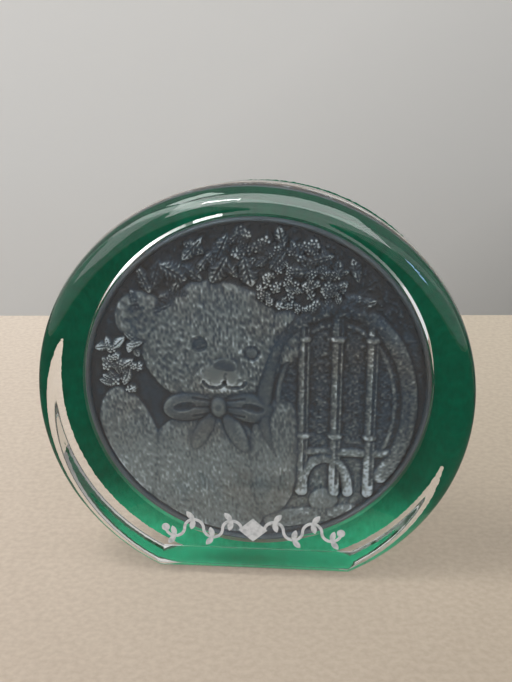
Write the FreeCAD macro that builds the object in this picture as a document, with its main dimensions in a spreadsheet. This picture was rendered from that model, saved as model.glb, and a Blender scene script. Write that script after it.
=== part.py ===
import FreeCAD, Part
import math
import os
import Sketcher
from FreeCAD import Placement, Rotation, Vector

# A free-standing round glass paperweight. A pewter relief plaque lies face forward in a shallow
# recess in the back of the glass, and a green sheet covers the back. A white print decorates the
# lower front face.
#
# Frame: millimetres, +Z up, X across the face, the front face towards -Y. The origin is at the
# centre of the foot's plane. Every body is drawn about the axis of the disc, and is lifted by
# "centre_height" so that the foot lies on Z = 0.

# Each row is an alias of the sheet, its value in millimetres (or a count) and what it stands for.
DIMENSIONS = [
    ("disc_radius", 44.75, "sharp front corner of the disc, which rounding takes to 88.9 across"),
    ("side_taper", 1.2, "how much smaller the disc's radius is at its back face"),
    ("glass_thickness", 18.6, "front face to back face"),
    ("centre_height", 39.5, "axis of the disc above the flat foot"),
    ("front_edge_radius", 4.5, "rounded front edge of the disc, all the way round"),
    ("back_edge_radius", 0.4, "softened back edge of the disc"),
    ("recess_radius", 36.6, "wall of the recess in the back"),
    ("recess_depth", 4.0, "back face to the floor of the recess"),
    ("recess_bevel", 0.5, "bevel round the mouth of the recess"),
    ("plaque_radius", 36.3, "the cast plaque, which drops into the recess"),
    ("plaque_thickness", 1.9, "its plain disc, without the relief"),
    ("relief_height", 1.3, "highest point of the relief above that disc"),
    ("rim_width", 0.9, "raised border round the plaque"),
    ("rim_height", 1.2, "height of that border above the plain disc"),
    ("plaque_clearance", 0.1, "air between the relief and the glass"),
    ("backing_radius", 42.6, "the green sheet over the back"),
    ("backing_thickness", 1.0, "thickness of that sheet"),
    ("backing_drop", 0.6, "how far its round outline sits below the disc's axis"),
    ("backing_shift", 0.6, "how far it sits to the right of the disc's axis"),
    ("print_thickness", 0.15, "raised white enamel of the print"),
    ("print_height", 11.3, "middle of the print above the foot"),
    ("lozenge_width", 6.0, "central lozenge of the print, tip to tip"),
    ("lozenge_tall", 5.4, "the same, bottom to top"),
    ("vine_radius", 2.0, "mean radius of each half-wave of the vine"),
    ("vine_half_width", 0.3, "half of the vine's stroke"),
    ("vine_start", 2.4, "where the vine leaves the lozenge, from the middle"),
    ("leaf_length", 2.4, "tip to tip"),
    ("leaf_bulge", 0.6, "half of a leaf's width"),
    ("berry_radius", 0.85, "berry at the outer end of the vine"),
]

VINE_HALF_WAVES = 4
LEAF_TURNS = (("outer_leaves", 50), ("inner_leaves", -75))

doc = FreeCAD.newDocument("paperweight")
sheet = doc.addObject("Spreadsheet::Sheet", "sheet")
for row, (alias, value, meaning) in enumerate(DIMENSIONS, start=1):
    sheet.set(f"A{row}", meaning)
    sheet.set(f"B{row}", str(value))
    sheet.setAlias(f"B{row}", alias)
doc.recompute()


def size(alias):
    """The value of one cell of the sheet."""
    return float(sheet.get(alias))


def new_body(label, depth_expression):
    """A body about the disc's axis, set back along Y by an expression of the sheet's cells."""
    body = doc.addObject("PartDesign::Body", label)
    body.Label = label
    body.setExpression(".Placement.Base.y", depth_expression)
    body.setExpression(".Placement.Base.z", "sheet.centre_height")
    return body


def origin_plane(body, role):
    """One of the body's own origin planes, found by its role."""
    return next(item for item in body.Origin.OriginFeatures if item.Role == role)


def face_sketch(body, name, offset_expression=None):
    """A sketch seen from the front: its normal is -Y, its x is X and its y is Z."""
    sketch = body.newObject("Sketcher::SketchObject", name)
    sketch.AttachmentSupport = [(origin_plane(body, "XZ_Plane"), "")]
    sketch.MapMode = "FlatFace"
    if offset_expression:
        sketch.setExpression(".AttachmentOffset.Base.z", offset_expression)
    return sketch


def constrain(sketch, *arguments, cells=None):
    """Add one constraint, bound to an expression of the sheet's cells where one is given."""
    index = sketch.addConstraint(Sketcher.Constraint(*arguments))
    if cells:
        sketch.setExpression(f"Constraints[{index}]", cells)


def circle(sketch, alias):
    """A circle about the disc's axis whose radius is a cell of the sheet."""
    middle = Vector(0, 0, 0)
    index = sketch.addGeometry(Part.Circle(middle, Vector(0, 0, 1), size(alias)), False)
    constrain(sketch, "Coincident", index, 3, -1, 1)
    constrain(sketch, "Radius", index, size(alias), cells=f"sheet.{alias}")


def pad(body, sketch, name, length_expression):
    """Raise a sketch towards the front."""
    feature = body.newObject("PartDesign::Pad", name)
    feature.Profile = sketch
    feature.setExpression("Length", length_expression)
    doc.recompute()
    return feature


def pocket_checked(body, sketch, name, length_expression):
    """Cut a sketch towards the front, and make sure that the cut took material off."""
    before = body.Shape.Volume
    feature = body.newObject("PartDesign::Pocket", name)
    feature.Profile = sketch
    feature.setExpression("Length", length_expression)
    feature.Reversed = True
    doc.recompute()
    if body.Shape.Volume > before - 1.0:
        raise RuntimeError(f"{name} cuts nothing")
    return feature


def edges_where(feature, test):
    """The names of the feature's edges that pass a test."""
    edges = enumerate(feature.Shape.Edges, start=1)
    return [f"Edge{number}" for number, edge in edges if test(edge)]


def lies_at_depth(edge, depth):
    """Whether the whole edge lies in the plane at this Y."""
    box = edge.BoundBox
    return abs(box.YMin - depth) < 1e-4 and abs(box.YMax - depth) < 1e-4


def dress(body, kind, name, base, edge_names, parameter, cells):
    """Fillet or chamfer named edges of a feature."""
    if not edge_names:
        raise RuntimeError(f"{name} finds no edge")
    feature = body.newObject(kind, name)
    feature.Base = (base, edge_names)
    feature.setExpression(parameter, cells)
    doc.recompute()
    return feature


def footed_circle(sketch, alias, foot_cells, foot_distance):
    """A circle cut off by the straight line of the foot, at that distance below its middle."""
    radius = size(alias)
    foot = -foot_distance
    half_chord = math.sqrt(radius ** 2 - foot ** 2)
    angle = math.atan2(foot, half_chord)
    whole = Part.Circle(Vector(0, 0, 0), Vector(0, 0, 1), radius)
    arc = sketch.addGeometry(Part.ArcOfCircle(whole, angle, math.pi - angle), False)
    left = Vector(-half_chord, foot, 0)
    right = Vector(half_chord, foot, 0)
    chord = sketch.addGeometry(Part.LineSegment(left, right), False)
    constrain(sketch, "Coincident", arc, 3, -1, 1)
    constrain(sketch, "Radius", arc, radius, cells=f"sheet.{alias}")
    constrain(sketch, "Coincident", arc, 2, chord, 1)
    constrain(sketch, "Coincident", arc, 1, chord, 2)
    constrain(sketch, "Horizontal", chord)
    constrain(sketch, "DistanceY", chord, 1, -1, 1, foot_distance, cells=foot_cells)


# The total depth runs from the front of the print to the back of the green sheet, and Y = 0 lies
# half-way. The glass, whose own middle is at its body's Y = 0, is set back to suit.
TOTAL_DEPTH = "(sheet.print_thickness + sheet.glass_thickness + sheet.backing_thickness)"
FRONT_FACE = f"(sheet.print_thickness - {TOTAL_DEPTH} / 2)"
BACK_FACE = f"({FRONT_FACE} + sheet.glass_thickness)"
RECESS_FLOOR = f"({BACK_FACE} - sheet.recess_depth)"
PLAQUE_DISC_FRONT = f"({RECESS_FLOOR} + sheet.plaque_clearance + sheet.relief_height)"
PLAQUE_BACK = f"({PLAQUE_DISC_FRONT} + sheet.plaque_thickness)"


def disc_section(body):
    """Half of the disc's section, seen from its left: the side leans in towards the back."""
    half = size("glass_thickness") / 2
    radius = size("disc_radius")
    taper = size("side_taper")
    sketch = body.newObject("Sketcher::SketchObject", "disc_section")
    sketch.AttachmentSupport = [(origin_plane(body, "YZ_Plane"), "")]
    sketch.MapMode = "FlatFace"
    corners = [Vector(-half, 0, 0), Vector(half, 0, 0), Vector(half, radius - taper, 0),
               Vector(-half, radius, 0)]
    for number, corner in enumerate(corners):
        sketch.addGeometry(Part.LineSegment(corner, corners[(number + 1) % 4]), False)
    for number in range(4):
        constrain(sketch, "Coincident", number, 2, (number + 1) % 4, 1)
    constrain(sketch, "PointOnObject", 0, 1, -1)
    constrain(sketch, "Horizontal", 0)
    constrain(sketch, "Vertical", 1)
    constrain(sketch, "Vertical", 3)
    constrain(sketch, "DistanceX", 0, 1, -1, 1, half, cells="sheet.glass_thickness / 2")
    constrain(sketch, "DistanceX", -1, 1, 0, 2, half, cells="sheet.glass_thickness / 2")
    constrain(sketch, "DistanceY", -1, 1, 2, 2, radius, cells="sheet.disc_radius")
    constrain(sketch, "DistanceY", -1, 1, 1, 2, radius - taper,
              cells="sheet.disc_radius - sheet.side_taper")
    return sketch


def below_foot(sketch):
    """A rectangle over everything lower than the foot."""
    radius = size("disc_radius")
    foot = -size("centre_height")
    corners = [Vector(-radius, -radius, 0), Vector(radius, -radius, 0), Vector(radius, foot, 0),
               Vector(-radius, foot, 0)]
    for number, corner in enumerate(corners):
        sketch.addGeometry(Part.LineSegment(corner, corners[(number + 1) % 4]), False)
    for number in range(4):
        constrain(sketch, "Coincident", number, 2, (number + 1) % 4, 1)
        constrain(sketch, "Vertical" if number % 2 else "Horizontal", number)
    constrain(sketch, "DistanceX", 0, 1, -1, 1, radius, cells="sheet.disc_radius")
    constrain(sketch, "DistanceX", -1, 1, 0, 2, radius, cells="sheet.disc_radius")
    constrain(sketch, "DistanceY", 0, 1, -1, 1, radius, cells="sheet.disc_radius")
    constrain(sketch, "DistanceY", 2, 2, -1, 1, -foot, cells="sheet.centre_height")


def glass_block():
    """The clear disc: a side that leans in, a flat foot, soft edges and a bevelled recess."""
    body = new_body("glass_block", f"{FRONT_FACE} + sheet.glass_thickness / 2")
    half = size("glass_thickness") / 2

    turned = body.newObject("PartDesign::Revolution", "disc")
    turned.Profile = disc_section(body)
    turned.ReferenceAxis = (turned.Profile[0], ["H_Axis"])
    turned.Angle = 360.0
    doc.recompute()
    foot_outline = face_sketch(body, "foot_outline", "-sheet.glass_thickness / 2")
    below_foot(foot_outline)
    foot = pocket_checked(body, foot_outline, "foot", "sheet.glass_thickness")

    front = dress(body, "PartDesign::Fillet", "front_edge", foot,
                  edges_where(foot, lambda edge: lies_at_depth(edge, -half)),
                  "Radius", "sheet.front_edge_radius")
    dress(body, "PartDesign::Fillet", "back_edge", front,
          edges_where(front, lambda edge: lies_at_depth(edge, half)),
          "Radius", "sheet.back_edge_radius")

    mouth = face_sketch(body, "recess_outline", "-sheet.glass_thickness / 2")
    circle(mouth, "recess_radius")
    recess = pocket_checked(body, mouth, "recess", "sheet.recess_depth")

    def is_recess_mouth(edge):
        across = edge.BoundBox.XLength - 2 * size("recess_radius")
        return lies_at_depth(edge, half) and abs(across) < 1e-3

    dress(body, "PartDesign::Chamfer", "recess_mouth", recess,
          edges_where(recess, is_recess_mouth), "Size", "sheet.recess_bevel")
    return body


def backing_sheet():
    """The green sheet: stuck on a little low and to the right, and trimmed level with the foot."""
    body = new_body("backing_sheet", f"{BACK_FACE} + sheet.backing_thickness")
    body.setExpression(".Placement.Base.x", "sheet.backing_shift")
    body.setExpression(".Placement.Base.z", "sheet.centre_height - sheet.backing_drop")
    outline = face_sketch(body, "sheet_outline")
    footed_circle(outline, "backing_radius", "sheet.centre_height - sheet.backing_drop",
                  size("centre_height") - size("backing_drop"))
    pad(body, outline, "sheet_disc", "sheet.backing_thickness")
    return body


def plaque_bond():
    """The adhesive behind the plaque, which fills the recess up to the back of the glass."""
    body = new_body("plaque_bond", BACK_FACE)
    outline = face_sketch(body, "bond_outline")
    circle(outline, "plaque_radius")
    pad(body, outline, "bond_disc", f"{BACK_FACE} - {PLAQUE_BACK}")
    return body


# The relief, as fractions of the plaque's radius for places and widths (across, up) and of the
# relief's height for how far each mass stands out. It shows a plain seated teddy bear with a bow,
# a round-backed spindle chair beside it and a garland of leaves above them.
BEAR = [
    ("body_mass", -0.28, -0.50, 0.38, 0.40, 0.62),
    ("left_arm", -0.66, -0.32, 0.15, 0.34, 0.60),
    ("right_arm", 0.08, -0.42, 0.15, 0.36, 0.66),
    ("left_ear", -0.62, 0.42, 0.14, 0.15, 0.55),
    ("right_ear", 0.14, 0.32, 0.13, 0.15, 0.58),
    ("head", -0.25, 0.25, 0.40, 0.37, 0.85),
    ("muzzle", -0.20, 0.08, 0.19, 0.14, 1.00),
]
BOW = [
    ("left_loop", -0.39, -0.13, 0.16, 0.095, 0.90),
    ("right_loop", -0.05, -0.13, 0.16, 0.095, 0.90),
    ("knot", -0.22, -0.13, 0.055, 0.07, 1.00),
]
CHAIR_MIDDLE = (0.45, 0.04)
CHAIR_RAIL_RADIUS = 0.40
SPINDLES = (-0.20, 0.0, 0.20)
SPINDLE_BOTTOM = -0.62
GARLAND_RADIUS = 0.80
GARLAND_LEAVES = 15
GARLAND_SPREAD = 130.0
LEAF_LONG = 0.095
LEAF_WIDE = 0.05
LEAF_HEIGHT = 0.75


def place_on_plaque(item, across, up, turn=0.0):
    """Put a primitive's own middle on the plaque's plain face, turned about its normal."""
    item.Placement.Rotation = Rotation(Vector(0, 1, 0), -turn)
    item.setExpression(".Placement.Base.x", f"sheet.plaque_radius * {across}")
    item.setExpression(".Placement.Base.y", PLAQUE_DISC_FRONT)
    height = f"sheet.centre_height + sheet.plaque_radius * {up}"
    item.setExpression(".Placement.Base.z", height)


def mound(name, across, up, half_width, half_tall, stand, turn=0.0):
    """A rounded mass: an ellipsoid whose back half is sunk in the plaque's disc."""
    item = doc.addObject("Part::Ellipsoid", name)
    item.setExpression("Radius1", f"sheet.plaque_radius * {half_tall}")
    item.setExpression("Radius2", f"sheet.plaque_radius * {half_width}")
    item.setExpression("Radius3", f"sheet.relief_height * {stand}")
    place_on_plaque(item, across, up, turn)
    return item


def spindle(name, across, bottom, top):
    """An upright bar of the chair's back, half sunk in the plaque's disc."""
    item = doc.addObject("Part::Cylinder", name)
    item.setExpression("Radius", "sheet.relief_height * 0.6")
    item.setExpression("Height", f"sheet.plaque_radius * {top - bottom}")
    place_on_plaque(item, across, bottom)
    return item


def chair_rail():
    """The chair's round top rail: the upper part of a ring, half sunk in the plaque's disc."""
    item = doc.addObject("Part::Torus", "chair_rail")
    item.setExpression("Radius1", f"sheet.plaque_radius * {CHAIR_RAIL_RADIUS}")
    item.setExpression("Radius2", "sheet.relief_height * 0.7")
    item.Angle3 = 210.0
    place_on_plaque(item, *CHAIR_MIDDLE)
    item.Placement.Rotation = Rotation(Vector(1, 0, 0), 90).multiply(Rotation(Vector(0, 0, 1), -15))
    return item


def relief_plaque():
    """The casting: a plain disc, a raised border and the relief, fused into one piece."""
    disc = doc.addObject("Part::Cylinder", "plaque_disc")
    disc.setExpression("Radius", "sheet.plaque_radius")
    disc.setExpression("Height", "sheet.plaque_thickness")
    border = doc.addObject("Part::Cylinder", "border_outer")
    border.setExpression("Radius", "sheet.plaque_radius")
    border.setExpression("Height", "sheet.rim_height")
    hollow = doc.addObject("Part::Cylinder", "border_inner")
    hollow.setExpression("Radius", "sheet.plaque_radius - sheet.rim_width")
    hollow.setExpression("Height", "sheet.rim_height")
    for item, towards in ((disc, -90), (border, 90), (hollow, 90)):
        place_on_plaque(item, 0.0, 0.0)
        item.Placement.Rotation = Rotation(Vector(1, 0, 0), towards)
    rim = doc.addObject("Part::Cut", "border")
    rim.Base = border
    rim.Tool = hollow

    masses = [mound(*numbers) for numbers in BEAR + BOW]
    masses.append(chair_rail())
    across, up = CHAIR_MIDDLE
    for number, offset in enumerate(SPINDLES):
        reach = math.sqrt(CHAIR_RAIL_RADIUS ** 2 - offset ** 2)
        bar = spindle(f"spindle_{number + 1}", across + offset, SPINDLE_BOTTOM, up + reach)
        masses.append(bar)
    for number in range(GARLAND_LEAVES):
        turn = GARLAND_SPREAD * (number / (GARLAND_LEAVES - 1) - 0.5)
        ring = GARLAND_RADIUS - 0.07 * (number % 2)
        across = -ring * math.sin(math.radians(turn))
        up = ring * math.cos(math.radians(turn))
        tilt = turn + (35 if number % 2 else -35)
        leaf = mound(f"leaf_{number + 1}", across, up, LEAF_LONG, LEAF_WIDE, LEAF_HEIGHT, tilt)
        masses.append(leaf)

    plaque = doc.addObject("Part::MultiFuse", "relief_plaque")
    plaque.Label = "relief_plaque"
    plaque.Shapes = [disc, rim] + masses
    return plaque


def vine_edge(sketch, sign):
    """One side of the sinuous stroke: a chain of half-circles whose middles lie on the axis.

    sign is 1 for the upper side and -1 for the lower. The outer radius is used where the side is
    on the outside of a half-wave, and the inner radius where it is on the inside.
    """
    mean = size("vine_radius")
    half = size("vine_half_width")
    for wave in range(VINE_HALF_WAVES):
        upward = 1 if wave % 2 == 0 else -1
        radius = mean + sign * upward * half
        middle = Vector(size("vine_start") + mean * (2 * wave + 1), 0, 0)
        start, end = (0, math.pi) if upward == 1 else (math.pi, 2 * math.pi)
        whole = Part.Circle(middle, Vector(0, 0, 1), radius)
        index = sketch.addGeometry(Part.ArcOfCircle(whole, start, end), False)
        widening = "+" if sign * upward == 1 else "-"
        cells = f"sheet.vine_radius {widening} sheet.vine_half_width"
        constrain(sketch, "Radius", index, radius, cells=cells)
        constrain(sketch, "PointOnObject", index, 3, -1)
        left_end = 2 if upward == 1 else 1
        right_end = 3 - left_end
        constrain(sketch, "PointOnObject", index, left_end, -1)
        if wave:
            constrain(sketch, "Coincident", index, left_end, *last_end)
        else:
            distance = f"sheet.vine_start {'-' if sign == 1 else '+'} sheet.vine_half_width"
            start_x = size("vine_start") - sign * half
            constrain(sketch, "DistanceX", -1, 1, index, left_end, start_x, cells=distance)
            first_end = (index, left_end)
        last_end = (index, right_end)
    constrain(sketch, "PointOnObject", *last_end, -1)
    return first_end, last_end


def join(sketch, one, other):
    """A straight end between two points of a sketch, each given as (geometry, point)."""
    start = sketch.getPoint(*one)
    end = sketch.getPoint(*other)
    index = sketch.addGeometry(Part.LineSegment(start, end), False)
    constrain(sketch, "Coincident", index, 1, *one)
    constrain(sketch, "Coincident", index, 2, *other)


def pointed_leaf(sketch, near, turn):
    """A leaf of the print: two arcs between its tips, the first tip on the vine."""
    along = Vector(math.cos(math.radians(turn)), math.sin(math.radians(turn)), 0)
    across = Vector(-along.y, along.x, 0)
    length = size("leaf_length")
    bulge = size("leaf_bulge")
    far = near + along * length
    middle = (near + far) * 0.5
    arcs = []
    for side in (1, -1):
        curve = Part.Arc(near, middle + across * (side * bulge), far)
        arcs.append(sketch.addGeometry(curve, False))
    one, other = arcs
    for tip in (near, far):
        ends = [next(end for end in (1, 2) if sketch.getPoint(arc, end).distanceToPoint(tip) < 1e-6)
                for arc in arcs]
        constrain(sketch, "Coincident", one, ends[0], other, ends[1])
    constrain(sketch, "Distance", one, 1, one, 2, length, cells="sheet.leaf_length")
    radius = (length ** 2 / 4 + bulge ** 2) / (2 * bulge)
    cells = "(sheet.leaf_length ^ 2 / 4 + sheet.leaf_bulge ^ 2) / (2 * sheet.leaf_bulge)"
    for arc in arcs:
        constrain(sketch, "Radius", arc, radius, cells=cells)


def front_ornament():
    """The white print: a lozenge between two mirrored vines, each with leaves and a berry."""
    body = doc.addObject("PartDesign::Body", "front_ornament")
    body.Label = "front_ornament"
    body.setExpression(".Placement.Base.y", FRONT_FACE)
    body.setExpression(".Placement.Base.z", "sheet.print_height")

    lozenge = face_sketch(body, "lozenge")
    half_width = size("lozenge_width") / 2
    half_tall = size("lozenge_tall") / 2
    tips = [Vector(half_width, 0, 0), Vector(0, half_tall, 0), Vector(-half_width, 0, 0),
            Vector(0, -half_tall, 0)]
    for number, tip in enumerate(tips):
        lozenge.addGeometry(Part.LineSegment(tip, tips[(number + 1) % 4]), False)
    for number in range(4):
        constrain(lozenge, "Coincident", number, 2, (number + 1) % 4, 1)
        constrain(lozenge, "PointOnObject", number, 1, -1 if number % 2 == 0 else -2)
    constrain(lozenge, "DistanceX", -1, 1, 0, 1, half_width, cells="sheet.lozenge_width / 2")
    constrain(lozenge, "DistanceX", 2, 1, -1, 1, half_width, cells="sheet.lozenge_width / 2")
    constrain(lozenge, "DistanceY", -1, 1, 1, 1, half_tall, cells="sheet.lozenge_tall / 2")
    constrain(lozenge, "DistanceY", 3, 1, -1, 1, half_tall, cells="sheet.lozenge_tall / 2")
    pad(body, lozenge, "lozenge_pad", "sheet.print_thickness")

    vine = face_sketch(body, "vine")
    upper_first, upper_last = vine_edge(vine, 1)
    lower_first, lower_last = vine_edge(vine, -1)
    join(vine, upper_first, lower_first)
    join(vine, upper_last, lower_last)
    vine_pad = pad(body, vine, "vine_pad", "sheet.print_thickness")

    mean = size("vine_radius")
    pads = [vine_pad]
    for name, turn in LEAF_TURNS:
        leaves = face_sketch(body, name)
        for wave in range(VINE_HALF_WAVES):
            upward = 1 if wave % 2 == 0 else -1
            crest = Vector(size("vine_start") + mean * (2 * wave + 1), upward * mean, 0)
            pointed_leaf(leaves, crest, upward * turn)
        pads.append(pad(body, leaves, f"{name}_pad", "sheet.print_thickness"))

    berry = face_sketch(body, "berry")
    end = size("vine_start") + mean * 2 * VINE_HALF_WAVES
    index = berry.addGeometry(Part.Circle(Vector(end, 0, 0), Vector(0, 0, 1),
                                          size("berry_radius")), False)
    constrain(berry, "PointOnObject", index, 3, -1)
    cells = f"sheet.vine_start + {2 * VINE_HALF_WAVES} * sheet.vine_radius"
    constrain(berry, "DistanceX", -1, 1, index, 3, end, cells=cells)
    constrain(berry, "Radius", index, size("berry_radius"), cells="sheet.berry_radius")
    pads.append(pad(body, berry, "berry_pad", "sheet.print_thickness"))

    mirrored = body.newObject("PartDesign::Mirrored", "other_vine")
    mirrored.Originals = pads
    mirrored.MirrorPlane = (origin_plane(body, "YZ_Plane"), [""])
    body.Tip = mirrored
    doc.recompute()
    return body


def check_document():
    """Stop on any object that failed to compute."""
    for item in doc.Objects:
        if "Invalid" in item.State or "Error" in item.State:
            raise RuntimeError(f"{item.Name} failed: {item.State}")


nodes = [glass_block(), relief_plaque(), plaque_bond(), backing_sheet(), front_ornament()]
doc.recompute()
check_document()
os.makedirs("parts", exist_ok=True)
for node in nodes:
    if node.Shape.isNull() or not node.Shape.isValid():
        raise RuntimeError(f"{node.Label} has no valid shape")
for node in nodes:
    node.Shape.exportStep(f"parts/{node.Label}.step")
    box = node.Shape.optimalBoundingBox(False)
    print(f"{node.Label}: {len(node.Shape.Solids)} solid, {node.Shape.Volume:.1f} mm3,"
          f" X {box.XMin:.2f} to {box.XMax:.2f}, Y {box.YMin:.2f} to {box.YMax:.2f},"
          f" Z {box.ZMin:.2f} to {box.ZMax:.2f}")
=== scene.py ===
import math

import bmesh
import bpy
import numpy as np
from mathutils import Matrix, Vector


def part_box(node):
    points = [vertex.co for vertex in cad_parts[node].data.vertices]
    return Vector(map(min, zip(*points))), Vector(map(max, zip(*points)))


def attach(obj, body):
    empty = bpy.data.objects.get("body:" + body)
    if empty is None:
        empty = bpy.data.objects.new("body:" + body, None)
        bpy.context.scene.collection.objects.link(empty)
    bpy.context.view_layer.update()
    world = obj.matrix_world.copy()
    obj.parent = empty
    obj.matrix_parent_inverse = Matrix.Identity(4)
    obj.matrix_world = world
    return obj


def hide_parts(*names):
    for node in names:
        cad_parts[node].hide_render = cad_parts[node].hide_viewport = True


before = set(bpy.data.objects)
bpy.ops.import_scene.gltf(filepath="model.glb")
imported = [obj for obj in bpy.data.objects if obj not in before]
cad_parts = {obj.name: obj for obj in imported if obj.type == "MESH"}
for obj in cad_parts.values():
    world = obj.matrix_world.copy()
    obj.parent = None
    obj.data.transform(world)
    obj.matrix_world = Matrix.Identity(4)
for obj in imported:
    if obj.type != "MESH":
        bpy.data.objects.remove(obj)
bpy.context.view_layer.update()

# All lengths are in metres: x to the right, y to the back, z up.
MM = 0.001

# The glass. Its CAD node's box gives where it is. The roundings and the recess, which no box
# tells, are repeated from the part.
GLASS_LOW, GLASS_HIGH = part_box("glass_block")
DISC_RADIUS = (GLASS_HIGH.x - GLASS_LOW.x) / 2
AXIS_HEIGHT = GLASS_HIGH.z - DISC_RADIUS
FRONT_ROUNDING = 4.5 * MM
BACK_ROUNDING = 0.4 * MM
RECESS_DEPTH = 4.0 * MM
RECESS_GAP = 0.3 * MM
RECESS_BEVEL = 0.5 * MM
# The back outline is smaller than the front one, by a little less than in the part, and it also
# sits lower, which the part leaves out.
SIDE_TAPER = 1.0 * MM
BACK_DROP = 1.4 * MM

# The plaque: a plain disc of this thickness, with the relief in front of it.
PLAQUE_LOW, PLAQUE_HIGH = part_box("relief_plaque")
PLAQUE_RADIUS = (PLAQUE_HIGH.x - PLAQUE_LOW.x) / 2
PLAQUE_THICK = 1.9 * MM
RELIEF_TALL = PLAQUE_HIGH.y - PLAQUE_LOW.y - PLAQUE_THICK

# The sheet is bonded, so its face lies this far inside the glass, with no air between them.
BACKING_LOW, BACKING_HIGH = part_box("backing_sheet")
BOND_OVERLAP = 0.02 * MM


# ---------------------------------------------------------------- helpers for meshes

def closed_mesh(name, vertices, faces):
    """A mesh whose faces all look outwards."""
    mesh = bpy.data.meshes.new(name)
    mesh.from_pydata(vertices.tolist(), [], faces)
    turned_out = bmesh.new()
    turned_out.from_mesh(mesh)
    bmesh.ops.recalc_face_normals(turned_out, faces=turned_out.faces[:])
    turned_out.to_mesh(mesh)
    turned_out.free()
    return mesh


def add_object(name, mesh, material, sharp_angle=None):
    """A new object with that mesh and material, shaded smooth up to an angle between faces."""
    mesh.materials.append(material)
    mesh.shade_smooth()
    if sharp_angle is not None:
        mesh.set_sharp_from_angle(angle=math.radians(sharp_angle))
    made = bpy.data.objects.new(name, mesh)
    bpy.context.scene.collection.objects.link(made)
    return made


def footed_outline(radius, middle, inset, arc_steps, foot_steps):
    """A circle cut off by the plane of the foot, moved inwards; its two corners stay sharp.

    middle is the circle's (x, height). Points (x, height), once round: the arc from its right
    end, then the foot from its left end.
    """
    reach = radius - inset
    start = -math.asin((middle[1] - inset) / reach)
    half_foot = reach * math.cos(start)
    turns = np.linspace(start, math.pi - start, arc_steps, endpoint=False)
    arc = np.column_stack([middle[0] + reach * np.cos(turns), middle[1] + reach * np.sin(turns)])
    foot_x = middle[0] + np.linspace(-half_foot, half_foot, foot_steps, endpoint=False)
    return np.concatenate([arc, np.column_stack([foot_x, np.full(foot_steps, inset)])])


def skin_rings(name, rings):
    """A mesh through rings of the same number of points, with its ends closed by flat faces."""
    count = len(rings[0])
    vertices = np.concatenate(rings)
    faces = []
    for ring in range(len(rings) - 1):
        low = ring * count
        for k in range(count):
            after = (k + 1) % count
            faces.append((low + k, low + after, low + count + after, low + count + k))
    faces.append(tuple(range(count))[::-1])
    faces.append(tuple(range(len(vertices) - count, len(vertices))))
    return closed_mesh(name, vertices, faces)


def ring_at(points, y):
    """Points (x, height) as a ring in the plane at that depth."""
    return np.column_stack([points[:, 0], np.full(len(points), y), points[:, 1]])


# ---------------------------------------------------------------- helpers for materials

def new_material(name, base, roughness, **sockets):
    """A Principled material; sockets are named with underscores for spaces."""
    material = bpy.data.materials.new(name)
    material.use_nodes = True
    shader = material.node_tree.nodes["Principled BSDF"]
    shader.inputs["Base Color"].default_value = (*base, 1.0)
    shader.inputs["Roughness"].default_value = roughness
    for socket, value in sockets.items():
        shader.inputs[socket.replace("_", " ")].default_value = value
    return material, shader


def add_node(material, kind, **inputs):
    """A new shader node with values set on its inputs, named with underscores for spaces."""
    node = material.node_tree.nodes.new("ShaderNode" + kind)
    for socket, value in inputs.items():
        node.inputs[socket.replace("_", " ")].default_value = value
    return node


def link(material, source, target):
    material.node_tree.links.new(source, target)


def mapped_place(material, **mapping):
    """The place in the object's own frame, in metres, after a Mapping node with those inputs."""
    place = add_node(material, "TexCoord")
    fit = add_node(material, "Mapping", **mapping)
    link(material, place.outputs["Object"], fit.inputs["Vector"])
    return fit.outputs["Vector"]


def coordinates_of(material, **mapping):
    """The outputs X, Y and Z of such a place."""
    parts = add_node(material, "SeparateXYZ")
    link(material, mapped_place(material, **mapping), parts.inputs["Vector"])
    return parts.outputs


def noise_of(material, scale, detail=4.0, stretch=(1.0, 1.0, 1.0)):
    """A noise texture, scale in cycles per metre; returns its Fac output."""
    noise = add_node(material, "TexNoise", Scale=scale, Detail=detail)
    link(material, mapped_place(material, Scale=stretch), noise.inputs["Vector"])
    return noise.outputs["Fac"]


def map_range(material, source, start, end, low=0.0, high=1.0):
    """The value turned so that start becomes low and end becomes high, held between them."""
    span = add_node(
        material, "MapRange", From_Min=start, From_Max=end, To_Min=low, To_Max=high)
    link(material, source, span.inputs["Value"])
    return span.outputs["Result"]


def ramp_of(material, source, stops):
    """A colour ramp over a value; stops are (position, colour) in order."""
    ramp = add_node(material, "ValToRGB")
    elements = ramp.color_ramp.elements
    while len(elements) < len(stops):
        elements.new(1.0)
    for element, (position, colour) in zip(elements, stops):
        element.position = position
        element.color = (*colour, 1.0)
    link(material, source, ramp.inputs["Fac"])
    return ramp.outputs["Color"]


def bump_of(material, shader, height, distance, strength=1.0):
    """Bump on the shader from a height from 0 to 1, which stands for that distance in metres."""
    bump = add_node(material, "Bump", Strength=strength, Distance=distance)
    link(material, height, bump.inputs["Height"])
    link(material, bump.outputs["Normal"], shader.inputs["Normal"])


# A Mix node has a set of sockets for each data type; these are the colour ones.
MIX_FACTOR, MIX_FIRST, MIX_SECOND, MIX_RESULT = 0, 6, 7, 2


def mix_colours(material, factor, first, second):
    """The first colour where the factor is 0 and the second where it is 1."""
    mix = add_node(material, "Mix")
    mix.data_type = "RGBA"
    link(material, factor, mix.inputs[MIX_FACTOR])
    link(material, first, mix.inputs[MIX_FIRST])
    link(material, second, mix.inputs[MIX_SECOND])
    return mix.outputs[MIX_RESULT]


def times(material, first, second):
    """One colour multiplied by another."""
    mix = add_node(material, "Mix")
    mix.data_type = "RGBA"
    mix.blend_type = "MULTIPLY"
    mix.inputs[MIX_FACTOR].default_value = 1.0
    link(material, first, mix.inputs[MIX_FIRST])
    link(material, second, mix.inputs[MIX_SECOND])
    return mix.outputs[MIX_RESULT]


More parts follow.
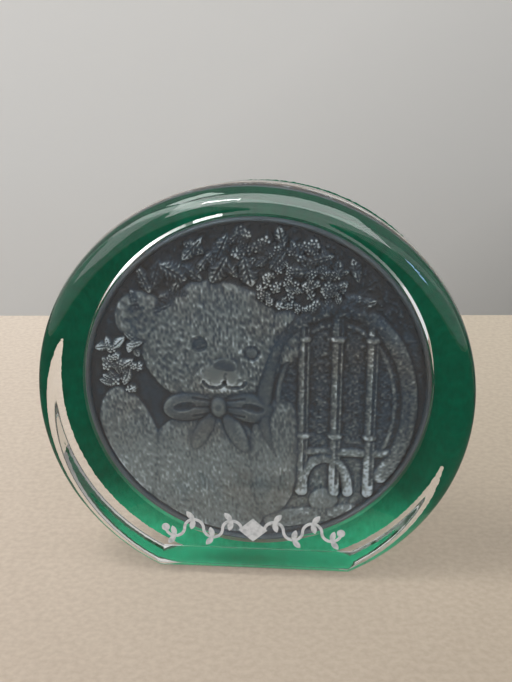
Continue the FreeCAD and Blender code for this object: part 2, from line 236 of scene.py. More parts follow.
# ---------------------------------------------------------------- the clear glass

def glass_material():
    """Polished clear glass with faint smears from handling."""
    material, shader = new_material(
        "clear_glass", (1.0, 1.0, 1.0), 0.0, Transmission_Weight=1.0, IOR=1.5)
    smears = noise_of(material, 60.0, 6.0, stretch=(1.0, 1.0, 0.35))
    film = map_range(material, smears, 0.52, 0.80, 0.0, 0.035)
    link(material, film, shader.inputs["Roughness"])
    return material


def glass_block():
    """The disc: flat faces, the front edge rounded, the back edge eased, a bevelled recess."""
    front, back = GLASS_LOW.y, GLASS_HIGH.y
    arc_steps, foot_steps = 520, 60
    front_steps, back_steps = 20, 6
    # A ring this far inside an edge of a flat face keeps its shading flat.
    support = 0.25 * MM
    axis = (0.0, AXIS_HEIGHT)
    back_middle = (0.0, AXIS_HEIGHT - BACK_DROP)
    outer = footed_outline(DISC_RADIUS, axis, 0.0, arc_steps, foot_steps)
    angles = np.arctan2(outer[:, 1] - AXIS_HEIGHT, outer[:, 0])

    def outline_ring(inset, y, radius=DISC_RADIUS, middle=axis):
        return ring_at(footed_outline(radius, middle, inset, arc_steps, foot_steps), y)

    def circle_ring(radius, y):
        points = [radius * np.cos(angles), AXIS_HEIGHT + radius * np.sin(angles)]
        return ring_at(np.column_stack(points), y)

    rings = [outline_ring(FRONT_ROUNDING + support, front)]
    for turn in np.linspace(0, math.pi / 2, front_steps):
        inset = FRONT_ROUNDING * (1 - math.sin(turn))
        rings.append(outline_ring(inset, front + FRONT_ROUNDING * (1 - math.cos(turn))))
    for turn in np.linspace(0, math.pi / 2, back_steps):
        inset = BACK_ROUNDING * (1 - math.cos(turn))
        rings.append(outline_ring(inset, back - BACK_ROUNDING * (1 - math.sin(turn)),
                                  DISC_RADIUS - SIDE_TAPER, back_middle))
    recess_radius = PLAQUE_RADIUS + RECESS_GAP
    floor = back - RECESS_DEPTH
    rings.append(circle_ring(recess_radius + RECESS_BEVEL, back))
    rings.append(circle_ring(recess_radius, back - RECESS_BEVEL))
    rings.append(circle_ring(recess_radius, floor))
    rings.append(circle_ring(recess_radius - support, floor))
    mesh = skin_rings("clear_glass_disc", rings)
    made = add_object("clear_glass_disc", mesh, glass_material(), sharp_angle=20)
    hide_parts("glass_block")
    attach(made, "root")


# ---------------------------------------------------------------- the relief
# Places and sizes on the plaque are fractions of its radius, from its middle, x to the right and
# z up. Heights are fractions of the relief's full height, and turns are in degrees.

# Cells of the grid that the relief is worked out on, and of the net that carries it.
GRID_COUNT = 740
NET_COUNT = 300
# How far two blurs reach, in cells of the grid: what stands above them is worn bright.
HOLLOW_REACH, FINE_REACH = 9, 3
# Values in the repeating square that a smooth noise is blended from.
LATTICE = 512


def eased(t):
    """A value from 0 to 1 with a smooth start and end."""
    return t * t * (3 - 2 * t)


def between(values, start, end):
    """0 at start, 1 at end, straight between them and held outside them."""
    return np.clip((values - start) / (end - start), 0, 1)


def smooth_noise(x, z, pitch, seed):
    """Noise from -1 to 1: random values on a square lattice of that pitch, blended smoothly."""
    values = np.random.default_rng(seed).uniform(-1.0, 1.0, (LATTICE, LATTICE))
    u, v = x / pitch, z / pitch
    i, j = np.floor(u).astype(int), np.floor(v).astype(int)
    s, t = eased(u - i), eased(v - j)
    i, j, right, up = i % LATTICE, j % LATTICE, (i + 1) % LATTICE, (j + 1) % LATTICE
    here = values[i, j] * (1 - s) + values[right, j] * s
    above = values[i, up] * (1 - s) + values[right, up] * s
    return here * (1 - t) + above * t


def two_noises(x, z, pitches, seeds):
    """The mean of two smooth noises."""
    return (smooth_noise(x, z, pitches[0], seeds[0]) * 0.5
            + smooth_noise(x, z, pitches[1], seeds[1]) * 0.5)


def turned(x, z, middle, turn):
    """Coordinates along and across a direction at that angle, in degrees, from a middle."""
    c, s = math.cos(math.radians(turn)), math.sin(math.radians(turn))
    dx, dz = x - middle[0], z - middle[1]
    return dx * c + dz * s, -dx * s + dz * c


def dome(x, z, middle, half, turn=0.0, fullness=0.5):
    """1 in the middle of a rounded mass, 0 outside its ellipse of those half-widths."""
    along, across = turned(x, z, middle, turn)
    inside = 1 - (along / half[0]) ** 2 - (across / half[1]) ** 2
    return np.clip(inside, 0, None) ** fullness


def bar(x, z, start, end, half):
    """1 on the middle line of a straight round bar, 0 outside it."""
    a, b = np.array(start), np.array(end)
    way = b - a
    t = ((x - a[0]) * way[0] + (z - a[1]) * way[1]) / (way @ way)
    t = np.clip(t, 0, 1)
    away = np.hypot(x - a[0] - t * way[0], z - a[1] - t * way[1])
    return np.sqrt(np.clip(1 - (away / half) ** 2, 0, None))


def hoop(x, z, middle, radii, half, first, last):
    """1 on the line of a bent bar that follows an ellipse between two angles in degrees."""
    best = np.zeros_like(x)
    steps = np.radians(np.linspace(first, last, 40))
    corners = [(middle[0] + radii[0] * math.cos(a), middle[1] + radii[1] * math.sin(a))
               for a in steps]
    for start, end in zip(corners[:-1], corners[1:]):
        best = np.maximum(best, bar(x, z, start, end, half))
    return best


def leaf(x, z, middle, length, width, turn):
    """A pointed leaf with a midrib and side veins: 0 outside it, up to about 1 inside."""
    along, across = turned(x, z, middle, turn)
    t = np.clip(along / length, -0.5, 0.5)
    edge = width * (1 - (2 * t) ** 2) * (1 - 0.5 * t)
    serration = 1 + 0.08 * np.sin(t * 60)
    inside = 1 - np.abs(across) / np.maximum(edge * serration, 1e-9)
    blade = np.clip(inside, 0, 1) ** 0.45
    blade[np.abs(along) >= length / 2] = 0
    rib = np.exp(-(across / (0.10 * width)) ** 2)
    veins = 0.5 + 0.5 * np.cos((along + 0.8 * np.abs(across)) * 2 * math.pi / (length * 0.16))
    return blade * (1 - 0.45 * rib - 0.16 * veins)


def floret(x, z, middle, radius, petals, turn):
    """A small open flower: a ring of round petals about a bead."""
    best = dome(x, z, middle, (radius * 0.36, radius * 0.36))
    for k in range(petals):
        a = turn + 2 * math.pi * k / petals
        spot = (middle[0] + 0.62 * radius * math.cos(a), middle[1] + 0.62 * radius * math.sin(a))
        best = np.maximum(best, 0.85 * dome(x, z, spot, (radius * 0.42, radius * 0.42)))
    return best


class Relief:
    """Heights over a square grid round the plaque, and where they are furry."""

    def __init__(self, count):
        line = np.linspace(-1.0, 1.0, count)
        self.line = line
        self.x, self.z = np.meshgrid(line, line, indexing="ij")
        self.height = np.zeros_like(self.x)
        self.fur = np.zeros_like(self.x)

    def window(self, middle, reach):
        """The part of the grid within reach of a place, as two slices."""
        slices = []
        for centre in middle:
            low, high = np.searchsorted(self.line, (centre - reach, centre + reach))
            slices.append(slice(max(low - 1, 0), min(high + 1, len(self.line))))
        return tuple(slices)

    def raise_to(self, shape, stand, part=..., furred=0.0, base=0.0):
        """Lay a mass over what is there: its height is base + stand wherever shape is 1."""
        top = np.where(shape > 0, base + stand * shape, 0.0)
        wins = top > self.height[part]
        self.height[part] = np.where(wins, top, self.height[part])
        self.fur[part] = np.where(wins, furred, self.fur[part])

    def sink(self, shape, depth):
        """Cut a groove, which is that deep wherever shape is 1."""
        self.height -= depth * shape


def model_bear(relief):
    """A plain seated teddy bear, in the left of the plaque."""
    x, z = relief.x, relief.z
    fur_fullness = 0.42
    furry = (
        ((-0.30, -0.62), (0.40, 0.46), 0, 0.62),    # the body
        ((-0.74, -0.42), (0.18, 0.40), 12, 0.60),   # the arm at the left
        ((0.10, -0.46), (0.17, 0.40), -8, 0.66),    # the arm at the right
        ((-0.66, 0.40), (0.15, 0.16), 20, 0.55),    # the ear at the left
        ((0.16, 0.30), (0.14, 0.17), -20, 0.58),    # the ear at the right
        ((-0.25, 0.25), (0.42, 0.38), 0, 0.82),     # the head
        ((-0.20, 0.08), (0.20, 0.15), 0, 1.0),      # the muzzle
    )
    for middle, half, turn, stand in furry:
        relief.raise_to(dome(x, z, middle, half, turn, fur_fullness), stand, furred=1.0)
    hollows_of_ears = ((-0.68, 0.40), 20), ((0.18, 0.30), -20)
    for middle, turn in hollows_of_ears:
        relief.sink(dome(x, z, middle, (0.085, 0.095), turn, 0.8), 0.22)
    eyes = (-0.33, 0.26), (-0.03, 0.21)
    for middle in eyes:
        relief.sink(dome(x, z, middle, (0.055, 0.05), 0, 0.5), 0.22)
        relief.raise_to(dome(x, z, middle, (0.034, 0.032)), 0.14, base=0.60)
    nose, lip = (-0.18, 0.13), (-0.185, 0.02)
    relief.raise_to(dome(x, z, nose, (0.068, 0.045), 0, 0.3), 0.12, base=0.88)
    relief.sink(bar(x, z, (-0.18, 0.08), lip, 0.014), 0.20)
    for sign in (-1, 1):
        mouth = (-0.185 + sign * 0.06, 0.03)
        relief.sink(hoop(x, z, mouth, (0.06, 0.035), 0.013, 180, 360), 0.18)


def model_bow(relief):
    """The bow under the chin: two loops with folds, a knot and two tails."""
    x, z = relief.x, relief.z
    knot_x, knot_z = -0.22, -0.13
    for sign in (-1, 1):
        tail = (knot_x + sign * 0.10, -0.30)
        relief.raise_to(dome(x, z, tail, (0.15, 0.055), 90 + sign * 28, 0.3), 0.72)
        loop = (knot_x + sign * 0.17, knot_z)
        relief.raise_to(dome(x, z, loop, (0.16, 0.095), sign * -12, 0.35), 0.84)
        opening = (knot_x + sign * 0.20, knot_z)
        relief.sink(dome(x, z, opening, (0.07, 0.03), sign * -12, 0.6), 0.25)
        for offset in (-0.04, 0.0, 0.04):
            fold_start = (knot_x + sign * 0.05, knot_z + offset)
            fold_end = (knot_x + sign * 0.15, knot_z + 1.4 * offset)
            relief.sink(bar(x, z, fold_start, fold_end, 0.009), 0.10)
    relief.raise_to(dome(x, z, (knot_x, knot_z), (0.055, 0.07), 0, 0.35), 0.98)


def model_chair(relief):
    """The round-backed chair to the right: a bent rail, spindles, a lower arch, rough infill."""
    x, z = relief.x, relief.z
    rough = two_noises(x, z, (0.012, 0.024), (31, 32))
    middle, radii = (0.46, -0.10), (0.42, 0.58)
    inside = ((x - middle[0]) / radii[0]) ** 2 + ((z - middle[1]) / radii[1]) ** 2 < 1
    infill = inside & (z > -0.42) & (x > 0.13)
    relief.raise_to(infill * (0.18 + 0.12 * rough), 1.0)
    # The rail and a thin bead inside it.
    relief.raise_to(hoop(x, z, middle, radii, 0.05, -50, 215), 0.66)
    relief.raise_to(hoop(x, z, middle, (0.335, 0.49), 0.018, -40, 200), 0.34)
    # The spindles, each with a groove and two collars.
    for across in (0.27, 0.46, 0.66):
        top = middle[1] + radii[1] * math.sqrt(1 - ((across - middle[0]) / radii[0]) ** 2)
        relief.raise_to(bar(x, z, (across, -0.66), (across, top), 0.036), 0.62)
        groove = across + 0.012
        relief.sink(bar(x, z, (groove, -0.60), (groove, top - 0.05), 0.010), 0.16)
        for height in (-0.30, 0.30):
            relief.raise_to(dome(x, z, (across, height), (0.046, 0.03), 0, 0.5), 0.72)
    # The crosspiece, the arch under it with a paw in front, and the edge of the seat.
    relief.raise_to(bar(x, z, (0.16, -0.40), (0.84, -0.40), 0.03), 0.5)
    relief.raise_to(hoop(x, z, (0.40, -0.66), (0.14, 0.22), 0.034, 0, 180), 0.6)
    relief.raise_to(dome(x, z, (0.40, -0.72), (0.09, 0.08), 20, 0.5), 0.5, furred=0.6)
    relief.raise_to(bar(x, z, (0.10, -0.86), (0.56, -0.80), 0.06), 0.42)


def model_garland(relief):
    """Leaves across the top, a mass of small flowers, and a sprig at the left edge."""
    random = np.random.default_rng(5)

    def lay_leaf(middle, length, width, turn, stand):
        part = relief.window(middle, length)
        shape = leaf(relief.x[part], relief.z[part], middle, length, width, turn)
        relief.raise_to(shape, stand, part)

    def lay_floret(middle, radius, stand):
        part = relief.window(middle, radius * 1.3)
        petals = int(random.integers(4, 7))
        shape = floret(relief.x[part], relief.z[part], middle, radius, petals, random.uniform(0, 6))
        relief.raise_to(shape, stand, part)

    # Leaves fanned over the top, from the left to the right.
    leaves, half_fan = 34, 52
    for number in range(leaves):
        turn = half_fan - 2 * half_fan * number / (leaves - 1) + random.uniform(-3, 3)
        ring = random.uniform(0.70, 0.90)
        middle = (-ring * math.sin(math.radians(turn)), ring * math.cos(math.radians(turn)))
        tilt = turn + random.uniform(20, 75) * (-1) ** number
        lay_leaf(middle, random.uniform(0.12, 0.19), random.uniform(0.032, 0.05), tilt,
                 random.uniform(0.55, 0.85))
    # Flowers at the very top, kept inside the border.
    border_reach = 0.93
    for _ in range(26):
        middle = (random.uniform(-0.12, 0.34), random.uniform(0.78, 0.93))
        if math.hypot(*middle) < border_reach:
            lay_floret(middle, random.uniform(0.022, 0.036), random.uniform(0.6, 0.8))
    large_leaves = ((-0.21, 0.70), 60), ((-0.05, 0.69), 105), ((-0.47, 0.68), 150)
    for middle, turn in large_leaves:
        lay_leaf(middle, 0.19, 0.058, turn, 1.0)
    # The mass of small flowers fills an ellipse.
    for _ in range(110):
        spot = random.uniform(-1, 1, 2)
        if spot @ spot > 1:
            continue
        middle = (0.25 + 0.24 * spot[0], 0.60 + 0.15 * spot[1])
        lay_floret(middle, random.uniform(0.018, 0.03), random.uniform(0.7, 1.0))
    sprig_x = -0.80
    for _ in range(16):
        middle = (sprig_x + random.uniform(-0.10, 0.12), 0.13 + random.uniform(-0.16, 0.18))
        lay_leaf(middle, random.uniform(0.08, 0.13), 0.03, random.uniform(0, 180),
                 random.uniform(0.6, 0.95))
    for _ in range(14):
        middle = (sprig_x + random.uniform(-0.08, 0.12), 0.10 + random.uniform(-0.14, 0.14))
        lay_floret(middle, random.uniform(0.02, 0.03), random.uniform(0.7, 1.0))


def finish_relief(relief):
    """Fur, the uneven ground of the casting and the raised border."""
    x, z = relief.x, relief.z
    stipple = smooth_noise(x, z * 0.6 + x * 0.3, 0.011, 11) * 0.6
    stipple += smooth_noise(x * 0.7, z + x * 0.2, 0.022, 12) * 0.4
    tufts = smooth_noise(x, z, 0.075, 13)
    # The fur is flatter towards the foot.
    rough = 0.11 - 0.05 * between(z, -0.05, -0.35)
    relief.height += relief.fur * (rough * stipple + 0.05 * tufts)
    # The ground is rougher in the low places among the leaves and round the chair.
    ground = two_noises(x, z, (0.03, 0.012), (14, 15))
    foliage = 0.035 + 0.26 * between(z, 0.30, 0.45) * np.clip(1 - relief.height, 0, 1)
    foliage += 0.08 * between(x, 0.15, 0.25) * between(z, 0.35, 0.25)
    relief.height += (1 - relief.fur) * foliage * ground
    relief.height += 0.07 + 0.05 * smooth_noise(x, z, 0.16, 16)
    np.clip(relief.height, 0.0, 1.0, out=relief.height)
    # Everything sinks to the plain disc before the border, which has a round top.
    reach = np.hypot(x, z)
    border_middle, border_half, border_height = 0.985, 0.017, 0.92
    border = np.clip(1 - ((reach - border_middle) / border_half) ** 2, 0, 1) ** 0.5
    relief.height = np.maximum(
        relief.height * between(reach, 0.975, 0.955), border_height * border)


def blurred(values, reach):
    """A box blur of the grid, done twice, by sums along each direction."""
    for _ in range(2):
        for axis in (0, 1):
            padded = np.concatenate([
                np.repeat(np.take(values, [0], axis), reach + 1, axis), values,
                np.repeat(np.take(values, [-1], axis), reach, axis)], axis)
            total = np.cumsum(padded, axis)
            size = values.shape[axis]
            high = np.take(total, range(2 * reach + 1, 2 * reach + 1 + size), axis)
            low = np.take(total, range(0, size), axis)
            values = (high - low) / (2 * reach + 1)
    return values


def read_grid(grid, line, x, z):
    """The grid's value at each place, blended between its four nearest points."""
    step = line[1] - line[0]
    u = np.clip((x - line[0]) / step, 0, len(line) - 1.001)
    v = np.clip((z - line[0]) / step, 0, len(line) - 1.001)
    i, j = u.astype(int), v.astype(int)
    s, t = u - i, v - j
    return ((grid[i, j] * (1 - s) + grid[i + 1, j] * s) * (1 - t)
            + (grid[i, j + 1] * (1 - s) + grid[i + 1, j + 1] * s) * t)


def disc_places(count):
    """Places over the unit disc from a square net: its square rings become circles."""
    line = np.linspace(-1.0, 1.0, count + 1)
    a, b = (values.ravel() for values in np.meshgrid(line, line, indexing="ij"))
    wide = np.abs(a) > np.abs(b)
    reach = np.where(wide, a, b)
    safe = np.where(reach == 0, 1.0, reach)
    angle = np.where(wide, (math.pi / 4) * b / safe, math.pi / 2 - (math.pi / 4) * a / safe)
    return reach * np.cos(angle), reach * np.sin(angle)


def pewter_material():
    """Antiqued pewter: blue-black in the hollows, grey on the heights, with warm patches."""
    material, shader = new_material("dark_pewter", (0.05, 0.06, 0.06), 0.42, Metallic=0.3)
    wear_and_painted_light = add_node(material, "Attribute")
    wear_and_painted_light.attribute_name = "wear_and_painted_light"
    wear_and_painted_light = wear_and_painted_light.outputs["Fac"]
    # The blue-black of the lower stops is the patina; the upper stops are tinted blue as a painted
    # reflection of a window on the heights.
    cool = ramp_of(material, wear_and_painted_light, (
        (0.0, (0.004, 0.016, 0.030)), (0.30, (0.016, 0.046, 0.080)),
        (0.55, (0.072, 0.104, 0.122)), (0.80, (0.20, 0.255, 0.270)), (1.0, (0.58, 0.70, 0.78))))
    warm = ramp_of(material, wear_and_painted_light, (
        (0.0, (0.018, 0.018, 0.017)), (0.30, (0.052, 0.052, 0.048)),
        (0.55, (0.120, 0.116, 0.104)), (0.80, (0.28, 0.280, 0.245)), (1.0, (0.72, 0.72, 0.68))))
    patches = ramp_of(material, noise_of(material, 55.0, 5.0), (
        (0.45, (0.0, 0.0, 0.0)), (0.66, (0.5, 0.5, 0.5))))
    colour = mix_colours(material, patches, cool, warm)
    link(material, colour, shader.inputs["Base Color"])
    grain = noise_of(material, 2600.0, 3.0)
    link(material, map_range(material, grain, 0.0, 1.0, 0.26, 0.52), shader.inputs["Roughness"])
    bump_of(material, shader, grain, 0.05 * MM, 0.6)
    return material


def tone_of(relief, hollow, fine):
    """How light each place of the casting is, 0 to 1: wear on the heights, pale fur, painted
    glints, and a foot painted paler as a painted reflection.

    hollow and fine are how far a place stands above the relief blurred widely and closely.
    """
    x, z = relief.x, relief.z
    bare = 1 - relief.fur
    # Masks from 0 to 1 for parts of the plaque.
    low = eased(between(z, -0.12, -0.57))
    left = between(x, 0.15, -0.55)
    chair = between(x, 0.08, 0.16) * between(z, 0.42, 0.32) * bare
    garland = between(z, 0.30, 0.50) * bare
    border = between(np.hypot(x, z), 0.96, 0.97)

    # Painted reflection: the lower part is painted paler, most on the fur at the lower left, as the
    # lit table mirrored in the glass.
    tone = 0.25 + 0.29 * relief.fur + (0.33 - 0.20 * relief.fur) * low
    tone += chair * (0.17 - 0.34 * relief.height)
    tone += 0.05 * relief.fur * left * low + 0.04 * smooth_noise(x, z, 0.13, 21)
    tone -= 0.36 * garland
    # Painted glints: bright specks, mostly high on the plaque.
    sparkle = np.clip(smooth_noise(x, z, 0.014, 22) - 0.35, 0, None) * bare
    tone += 0.9 * sparkle * np.clip((z - 0.05) / 0.3, 0.1, 1) * np.clip(3 * relief.height, 0, 1)
    # The painted reflection also flattens the contrast of the wear towards the foot.
    strength = 1.0 - 0.15 * low
    tone += strength * (0.20 * (relief.height - 0.45) + 2.2 * hollow + 3.4 * fine)
    return np.clip(tone * (1 - border) + 0.50 * border, 0, 1)


def relief_plaque():
    """The casting, made finely: a net of about a quarter of a millimetre follows the relief."""
    relief = Relief(GRID_COUNT)
    model_chair(relief)
    model_bear(relief)
    model_bow(relief)
    model_garland(relief)
    finish_relief(relief)
    hollow = relief.height - blurred(relief.height, HOLLOW_REACH)
    fine = relief.height - blurred(relief.height, FINE_REACH)
    wear_and_painted_light_grid = tone_of(relief, hollow, fine)

    cells = NET_COUNT
    edge_height, back_tone = 0.3, 0.3
    x, z = disc_places(cells)
    height = read_grid(relief.height, relief.line, x, z)
    wear_and_painted_light = read_grid(wear_and_painted_light_grid, relief.line, x, z)
    disc_front = PLAQUE_HIGH.y - PLAQUE_THICK
    middle_z = (PLAQUE_LOW.z + PLAQUE_HIGH.z) / 2
    near_edge = np.hypot(x, z) > 1 - 1e-6
    front = np.column_stack([
        x * PLAQUE_RADIUS, disc_front - np.where(near_edge, edge_height, height) * RELIEF_TALL,
        middle_z + z * PLAQUE_RADIUS])
    side = cells + 1
    faces = [(i * side + j, (i + 1) * side + j, (i + 1) * side + j + 1, i * side + j + 1)
             for i in range(cells) for j in range(cells)]
    # The net's rim, once round, is repeated at the back to close the disc.
    loop = [i * side for i in range(cells)]
    loop += [cells * side + j for j in range(cells)]
    loop += [(cells - i) * side + cells for i in range(cells)]
    loop += [cells - j for j in range(cells)]
    back_low = len(front)
    back = front[loop].copy()
    back[:, 1] = PLAQUE_HIGH.y
    for k in range(len(loop)):
        after = (k + 1) % len(loop)
        faces.append((loop[k], loop[after], back_low + after, back_low + k))
    faces.append(tuple(range(back_low, back_low + len(loop))))
    mesh = closed_mesh("pewter_relief", np.concatenate([front, back]), faces)
    layer = mesh.attributes.new("wear_and_painted_light", "FLOAT", "POINT")
    tones = np.concatenate([wear_and_painted_light, np.full(len(back), back_tone)])
    layer.data.foreach_set("value", tones.astype(np.float32))
    made = add_object("pewter_relief", mesh, pewter_material(), sharp_angle=70)
    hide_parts("relief_plaque")
    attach(made, "root")


# ---------------------------------------------------------------- bond, backing and print

def green_material():
    """Close green felt: short fibres, uneven colour; its glued face has a painted glow, lighter
    near the foot.
    """
    material, shader = new_material(
        "green_cloth", (0.0, 0.17, 0.084), 0.85, Specular_IOR_Level=0.1)
    fibres = noise_of(material, 1500.0, 5.0, stretch=(1.0, 1.0, 0.45))
    colour = ramp_of(material, fibres, (
        (0.30, (0.0, 0.115, 0.055)), (0.70, (0.0, 0.145, 0.072))))
    # Painted glow: a much lighter green on the glued face near the foot, standing in for light that
    # reaches the felt through the glass there.
    light = ramp_of(material, fibres, (
        (0.30, (0.015, 0.50, 0.24)), (0.70, (0.03, 0.60, 0.30))))
    place = coordinates_of(material)
    low = map_range(material, place["Z"], 18.0 * MM, 2.0 * MM)
    low.node.interpolation_type = "SMOOTHSTEP"
    glued = map_range(
        material, place["Y"], BACKING_LOW.y + 0.3 * MM, BACKING_LOW.y + 0.1 * MM)
    both = add_node(material, "Math")
    both.operation = "MULTIPLY"
    link(material, low, both.inputs[0])
    link(material, glued, both.inputs[1])
    colour = mix_colours(material, both.outputs["Value"], colour, light)
    # Wide and narrow patches where the nap lies darker.
    for scale, dark in ((90.0, 0.86), (420.0, 0.80)):
        shade = ramp_of(material, noise_of(material, scale), (
            (0.35, (dark, dark, dark)), (0.65, (1.0, 1.0, 1.0))))
        colour = times(material, colour, shade)
    link(material, colour, shader.inputs["Base Color"])
    bump_of(material, shader, fibres, 0.08 * MM, 0.6)
    return material


def backing():
    """The cloth sheet: flat, with a slightly frayed cut edge."""
    radius = (BACKING_HIGH.x - BACKING_LOW.x) / 2
    middle = ((BACKING_LOW.x + BACKING_HIGH.x) / 2, BACKING_HIGH.z - radius)
    arc_steps, foot_steps = 1100, 130
    most_fray, edge = 0.22 * MM, 0.15 * MM
    random = np.random.default_rng(8)
    fray = random.uniform(0.0, most_fray, arc_steps + foot_steps)
    fray = (fray + np.roll(fray, 1)) / 2
    front, back = BACKING_LOW.y - BOND_OVERLAP, BACKING_HIGH.y

    def ring(inset, y):
        points = footed_outline(radius, middle, inset, arc_steps, foot_steps)
        way = np.array(middle) - points
        way /= np.linalg.norm(way, axis=1)[:, None]
        points = points + way * fray[:, None]
        points[arc_steps:, 1] = inset
        return ring_at(points, y)

    rings = [ring(2 * edge, front), ring(0.0, front), ring(0.0, (front + back) / 2),
             ring(0.0, back - edge), ring(edge, back)]
    mesh = skin_rings("green_felt", rings)
    made = add_object("green_felt", mesh, green_material(), sharp_angle=40)
    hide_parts("backing_sheet")
    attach(made, "root")


def adhesive_material():
    """Set adhesive: uneven, slightly yellow."""
    material, shader = new_material("adhesive", (0.7, 0.66, 0.55), 0.5)
    colour = ramp_of(material, noise_of(material, 140.0), (
        (0.35, (0.58, 0.53, 0.42)), (0.65, (0.74, 0.70, 0.60))))
    link(material, colour, shader.inputs["Base Color"])
    bump_of(material, shader, noise_of(material, 600.0), 0.1 * MM, 0.5)
    return material


def enamel_material():
    """Fired white print, a little thin in places."""
    material, shader = new_material("white_enamel", (0.7, 0.72, 0.74), 0.35)
    colour = ramp_of(material, noise_of(material, 900.0, 5.0), (
        (0.30, (0.42, 0.45, 0.47)), (0.55, (0.66, 0.68, 0.70))))
    link(material, colour, shader.inputs["Base Color"])
    bump_of(material, shader, noise_of(material, 1500.0), 0.02 * MM, 0.4)
    return material


def set_material(node, material):
    """Give a carried-over CAD node its finish."""
    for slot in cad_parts[node].material_slots:
        slot.material = material


# ---------------------------------------------------------------- studio and camera

# The focal length for an image of 512 x 682, and the sensor in millimetres, as Blender has it.
FOCAL_PIXELS = 1000.0
IMAGE_TALL = 682
SENSOR = 36.0
# The camera turns about the middle of the glass's front face, in degrees, and aims beside it.
CAMERA_DISTANCE = 200.2 * MM
CAMERA_AZIMUTH = 4.47
CAMERA_ELEVATION = 23.95
AIM_ACROSS = 0.64 * MM
AIM_ABOVE_AXIS = 14.0 * MM


def camera():
    """A camera above the front, turned a little to the right side of the object."""
    settings = bpy.data.cameras.new("camera")
    settings.sensor_width = SENSOR
    settings.lens = SENSOR * FOCAL_PIXELS / IMAGE_TALL
    settings.clip_start = 1.0 * MM
    eye = bpy.data.objects.new("camera", settings)
    bpy.context.scene.collection.objects.link(eye)
    bpy.context.scene.camera = eye
    azimuth, elevation = math.radians(CAMERA_AZIMUTH), math.radians(CAMERA_ELEVATION)
    pivot = Vector((0.0, GLASS_LOW.y, AXIS_HEIGHT))
    away = Vector((math.sin(azimuth) * math.cos(elevation),
                   -math.cos(azimuth) * math.cos(elevation), math.sin(elevation)))
    eye.location = pivot + away * CAMERA_DISTANCE
    target = pivot + Vector((AIM_ACROSS, 0.0, AIM_ABOVE_AXIS))
    eye.rotation_euler = (target - eye.location).to_track_quat("-Z", "Y").to_euler()


# The table is a hair below the foot. Its far edge and the wall are at these y.
TABLE_LEVEL = GLASS_LOW.z - 0.03 * MM
TABLE_EDGE = 0.174
WALL_DEPTH = 0.45


def table_material():
    """A pale beige, finely speckled table top, with painted shade that darkens it towards the near
    side and the right.
    """
    material, shader = new_material("table", (0.6, 0.5, 0.4), 0.8)
    specks = ramp_of(material, noise_of(material, 700.0, 6.0), (
        (0.35, (0.735, 0.62, 0.515)), (0.65, (0.83, 0.715, 0.60))))
    place = coordinates_of(material)
    # Painted shade: the table is painted darker towards the near side and towards the right.
    near_to_far = ramp_of(material, map_range(material, place["Y"], -0.12, TABLE_EDGE), (
        (0.0, (0.60, 0.56, 0.52)), (1.0, (1.0, 1.0, 0.99))))
    left_to_right = ramp_of(material, map_range(material, place["X"], -0.08, 0.07), (
        (0.0, (1.0, 1.0, 1.0)), (1.0, (0.845, 0.845, 0.80))))
    shade = times(material, near_to_far, left_to_right)
    link(material, times(material, specks, shade), shader.inputs["Base Color"])
    return material


def wall_material():
    """A light grey wall with painted shade that darkens it towards the lower right."""
    material, shader = new_material("wall", (0.6, 0.6, 0.6), 0.9)
    place = coordinates_of(material, Rotation=(0.0, math.radians(-50.0), 0.0))
    # Painted shade, darker towards the lower right.
    shade = ramp_of(material, map_range(material, place["X"], -0.04, 0.25), (
        (0.0, (0.70, 0.70, 0.69)), (0.54, (0.58, 0.58, 0.57)), (1.0, (0.34, 0.34, 0.33))))
    link(material, shade, shader.inputs["Base Color"])
    return material


def extrude_across(name, profile, half, material):
    """A sheet along a profile of (y, z) places, as wide to both sides, square to the camera."""
    vertices = [(x, y, z) for y, z in profile for x in (-half, half)]
    faces = [(2 * k, 2 * k + 1, 2 * k + 3, 2 * k + 2) for k in range(len(profile) - 1)]
    mesh = bpy.data.meshes.new(name)
    mesh.from_pydata(vertices, [], faces)
    made = add_object(name, mesh, material)
    made.rotation_euler.z = math.radians(CAMERA_AZIMUTH)


def backdrop():
    """The table, which ends behind the object at a rounded edge, and the wall further back."""
    near, low, tall, curve = -1.2, -0.5, 0.9, 0.012
    table_half, wall_half, curve_steps = 0.9, 1.4, 8
    profile = [(near, TABLE_LEVEL), (TABLE_EDGE - curve, TABLE_LEVEL)]
    for turn in np.linspace(0, math.pi / 2, curve_steps)[1:]:
        profile.append((TABLE_EDGE - curve + curve * math.sin(turn),
                        TABLE_LEVEL - curve * (1 - math.cos(turn))))
    profile.append((TABLE_EDGE, low))
    extrude_across("table", profile, table_half, table_material())
    extrude_across("wall", [(WALL_DEPTH, low), (WALL_DEPTH, tall)], wall_half, wall_material())


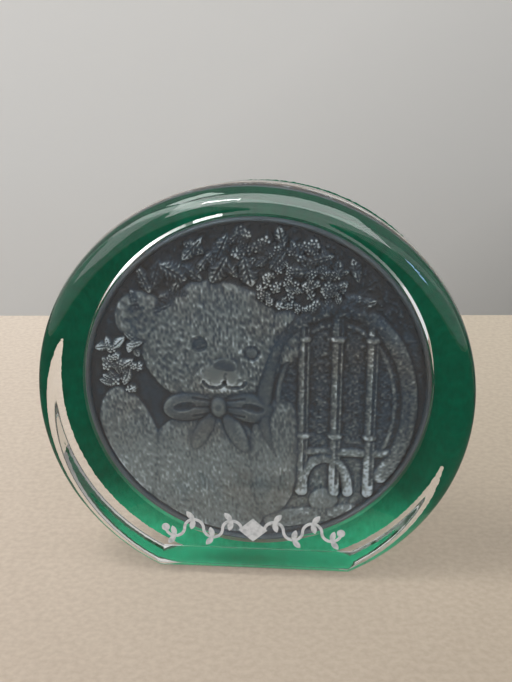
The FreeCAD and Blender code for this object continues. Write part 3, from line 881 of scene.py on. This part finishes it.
def flag():
    """A dark ring round the object, out of view, that dims the table mirrored in the glass."""
    inner, faded, outer, sides = 0.047, 0.11, 0.6, 64
    level = GLASS_LOW.z + 1.0 * MM
    turns = np.linspace(0, 2 * math.pi, sides, endpoint=False)
    vertices = [(radius * math.cos(turn), radius * math.sin(turn), level)
                for turn in turns for radius in (inner, outer)]
    faces = [(2 * k, 2 * k + 1, (2 * k + 3) % (2 * sides), (2 * k + 2) % (2 * sides))
             for k in range(sides)]
    mesh = bpy.data.meshes.new("flag")
    mesh.from_pydata(vertices, [], faces)
    material, shader = new_material("flag", (0.02, 0.02, 0.02), 0.9)
    place = add_node(material, "TexCoord")
    reach = add_node(material, "VectorMath")
    reach.operation = "LENGTH"
    link(material, place.outputs["Object"], reach.inputs[0])
    # It is half clear next to the object and nearly solid further out.
    solid = map_range(material, reach.outputs["Value"], inner, faded, 0.5, 0.96)
    link(material, solid, shader.inputs["Alpha"])
    made = add_object("flag", mesh, material)
    made.visible_camera = made.visible_diffuse = made.visible_shadow = False
    made.visible_transmission = False


def soft_light(name, place, target, size, power, colour=(1.0, 1.0, 1.0), only_mirrored=False):
    """A rectangular soft light at a place, turned towards a target, in metres and watts.

    One that is only mirrored lights nothing: it shows as a reflection.
    """
    light = bpy.data.lights.new(name, "AREA")
    light.shape = "RECTANGLE"
    light.size, light.size_y = size
    light.energy = power
    light.color = colour
    made = bpy.data.objects.new(name, light)
    made.location = place
    way = Vector(target) - Vector(place)
    made.rotation_euler = way.to_track_quat("-Z", "Y").to_euler()
    made.visible_camera = False
    made.visible_diffuse = made.visible_transmission = not only_mirrored
    bpy.context.scene.collection.objects.link(made)


def studio():
    """Even room light, a lamp overhead, a broad one at the left, and what the glass mirrors."""
    scene = bpy.context.scene
    world = bpy.data.worlds.new("room")
    scene.world = world
    world.use_nodes = True
    sky = world.node_tree.nodes["Background"]
    sky.inputs["Color"].default_value = (0.98, 0.99, 1.0, 1.0)
    sky.inputs["Strength"].default_value = 0.78
    soft_light("overhead", (-0.30, -0.10, 0.70), (0, 0, 0), (0.22, 0.22), 1.2)
    soft_light("left", (-0.55, -0.25, 0.45), (0, 0.1, 0.05), (0.5, 0.5), 1.5)
    middle = (0, 0, 0.04)
    soft_light("window", (0.04, -0.42, 0.52), middle, (0.8, 0.5), 6.5, only_mirrored=True)
    soft_light("lamp", (-0.14, -0.45, 0.45), middle, (0.12, 0.05), 0.6, only_mirrored=True)
    soft_light("blue_pane", (0.45, -0.35, 0.25), middle, (0.05, 0.10), 0.25,
               (0.35, 0.6, 1.0), only_mirrored=True)

    scene.cycles.use_denoising = True
    scene.cycles.max_bounces = 24
    scene.cycles.transmission_bounces = 20
    scene.cycles.glossy_bounces = 12
    scene.view_settings.view_transform = "Standard"


glass_block()
relief_plaque()
backing()
set_material("plaque_bond", adhesive_material())
set_material("front_ornament", enamel_material())
backdrop()
flag()
studio()
camera()
